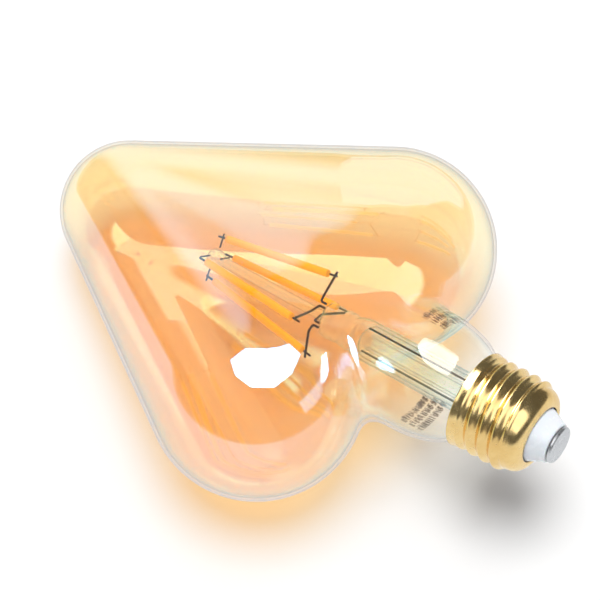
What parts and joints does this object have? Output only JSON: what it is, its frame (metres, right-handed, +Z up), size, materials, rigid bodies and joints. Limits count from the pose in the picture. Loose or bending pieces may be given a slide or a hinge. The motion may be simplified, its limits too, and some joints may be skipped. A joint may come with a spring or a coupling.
{
  "type": "smart filament light bulb",
  "caption": "Heart-shaped amber glass smart LED filament bulb with an E27 screw cap, lying on its lobes and tip, with stem, filament cage, wires and a driver in the cap.",
  "frame": {"origin": "under the middle of the bulb's box, on the table that it lies on", "axes": "+X towards the screw cap, +Y across the two lobes, +Z up. The bulb lies on both lobes and its tip, so its own axis leans down towards the tip by 6.6 degrees"},
  "size_m": [0.169, 0.1194, 0.0587],
  "materials": {
    "amber_glass": "clear blown glass, amber on the heart and clear on the neck, polished",
    "clear_glass": "clear glass, fire-polished",
    "phosphor": "yellow-orange phosphor in silicone, satin",
    "nickel_wire": "drawn nickel-plated wire, slightly darkened",
    "brass": "pressed and rolled brass sheet, bright",
    "insulator": "moulded insulator, smooth, pale bluish white",
    "contact_metal": "tinned contact, satin",
    "cement": "baked capping cement, matt",
    "circuit_board": "green solder mask on glass-fibre board",
    "film_case": "moulded yellow case",
    "black_plastic": "moulded epoxy package, fine matt",
    "capacitor_sleeve": "shrunk sleeve over an aluminium can",
    "resistor_body": "coated resistor body",
    "ferrite": "ferrite drum with a lacquered winding",
    "tin_plate": "tinned steel sheet and wire",
    "red_insulation": "insulated wire",
    "white_insulation": "insulated wire"
  },
  "bodies": {
    "root": {"glass_envelope": "amber_glass", "stem_tube": "clear_glass", "exhaust_tube": "clear_glass", "support_rod": "clear_glass", "filament_strip_a": "phosphor", "filament_strip_b": "phosphor", "filament_strip_c": "phosphor", "filament_strip_d": "phosphor", "filament_lower_pin_a": "nickel_wire", "filament_lower_pin_b": "nickel_wire", "filament_lower_pin_c": "nickel_wire", "filament_lower_pin_d": "nickel_wire", "filament_upper_pin_a": "nickel_wire", "filament_upper_pin_b": "nickel_wire", "filament_upper_pin_c": "nickel_wire", "filament_upper_pin_d": "nickel_wire", "anchor_wire_a": "nickel_wire", "anchor_wire_b": "nickel_wire", "anchor_wire_c": "nickel_wire", "anchor_wire_d": "nickel_wire", "lead_arm_a": "nickel_wire", "lead_arm_b": "nickel_wire", "lead_arm_c": "nickel_wire", "lead_arm_d": "nickel_wire", "lead_wire_positive": "nickel_wire", "lead_wire_negative": "nickel_wire", "screw_shell": "brass", "cap_insulator": "insulator", "center_contact": "contact_metal", "capping_cement": "cement", "driver_board": "circuit_board", "film_capacitor": "film_case", "bridge_rectifier": "black_plastic", "driver_chip": "black_plastic", "electrolytic_capacitor": "capacitor_sleeve", "fuse_resistor": "resistor_body", "inductor": "ferrite", "wireless_board": "circuit_board", "wireless_shield": "tin_plate", "antenna_wire": "tin_plate", "line_wire": "red_insulation", "neutral_wire": "white_insulation"}
  },
  "joints": []
}
